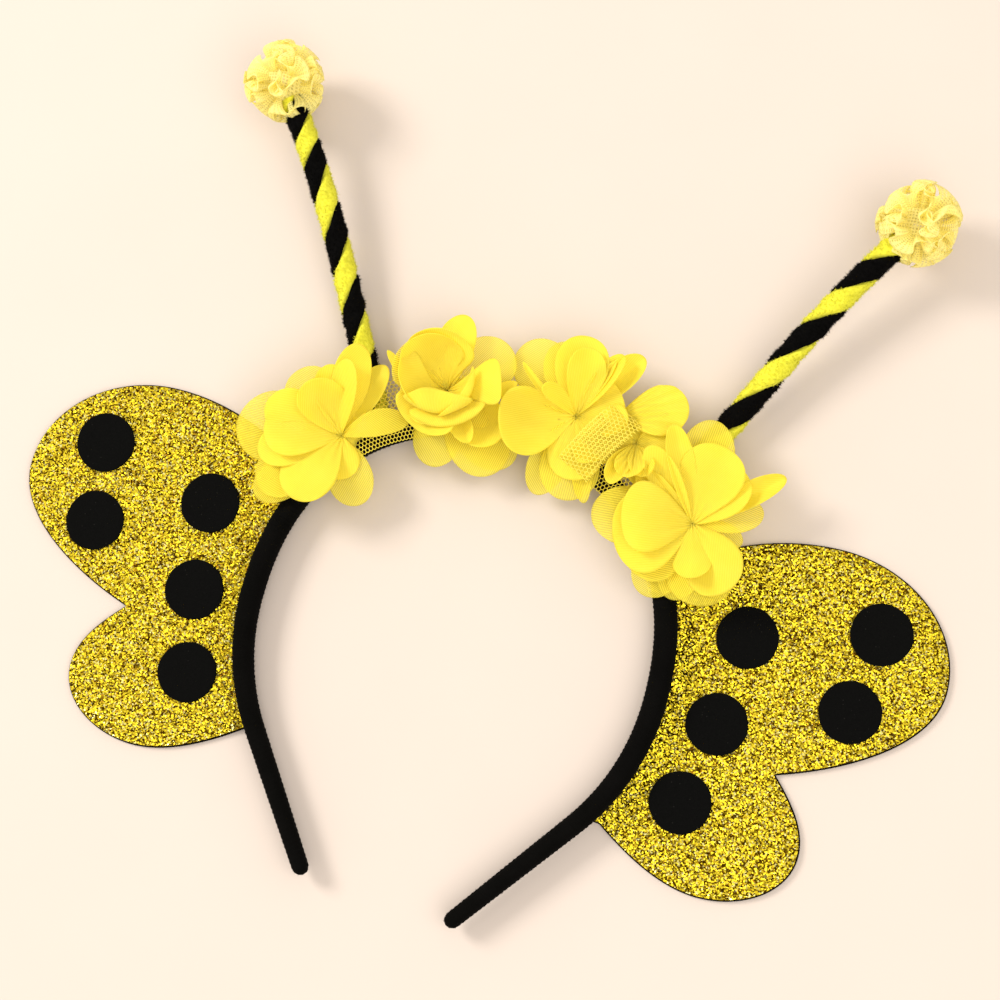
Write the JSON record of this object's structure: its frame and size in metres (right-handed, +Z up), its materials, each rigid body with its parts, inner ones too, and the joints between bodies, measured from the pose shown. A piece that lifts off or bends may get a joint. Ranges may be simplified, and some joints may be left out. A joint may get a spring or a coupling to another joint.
{
  "type": "bee antenna headband",
  "caption": "Velvet hoop headband with spotted glitter wings, chiffon flowers and pompom antennae.",
  "frame": {"origin": "middle of the whole part's box in X and Y, on the surface that it lies on", "axes": "+X across the wings, to the part's left-hand side as worn; +Y from the band's open ends to the pompoms; +Z up, out of the front of the band"},
  "size_m": [0.3136, 0.2684, 0.0335],
  "materials": {
    "velvet": "black velvet over padding",
    "felt": "black craft felt",
    "glitter": "gold glitter sheet",
    "net": "yellow hexagonal net",
    "chiffon": "sheer yellow chiffon",
    "chenille_yellow": "yellow chenille wire",
    "chenille_black": "black chenille wire",
    "tulle": "pale yellow tulle ruffles"
  },
  "bodies": {
    "root": {"band": "velvet", "left_wing_felt": "felt", "left_wing_glitter": "glitter", "left_dot_1": "felt", "left_dot_2": "felt", "left_dot_3": "felt", "left_dot_4": "felt", "left_dot_5": "felt", "left_antenna_yellow": "chenille_yellow", "left_antenna_black": "chenille_black", "left_pompom": "tulle", "right_wing_felt": "felt", "right_wing_glitter": "glitter", "right_dot_1": "felt", "right_dot_2": "felt", "right_dot_3": "felt", "right_dot_4": "felt", "right_dot_5": "felt", "right_antenna_yellow": "chenille_yellow", "right_antenna_black": "chenille_black", "right_pompom": "tulle", "net_tape": "net", "flower_1": "chiffon", "flower_2": "chiffon", "flower_3": "chiffon", "flower_4": "chiffon", "flower_5": "chiffon"}
  },
  "joints": []
}
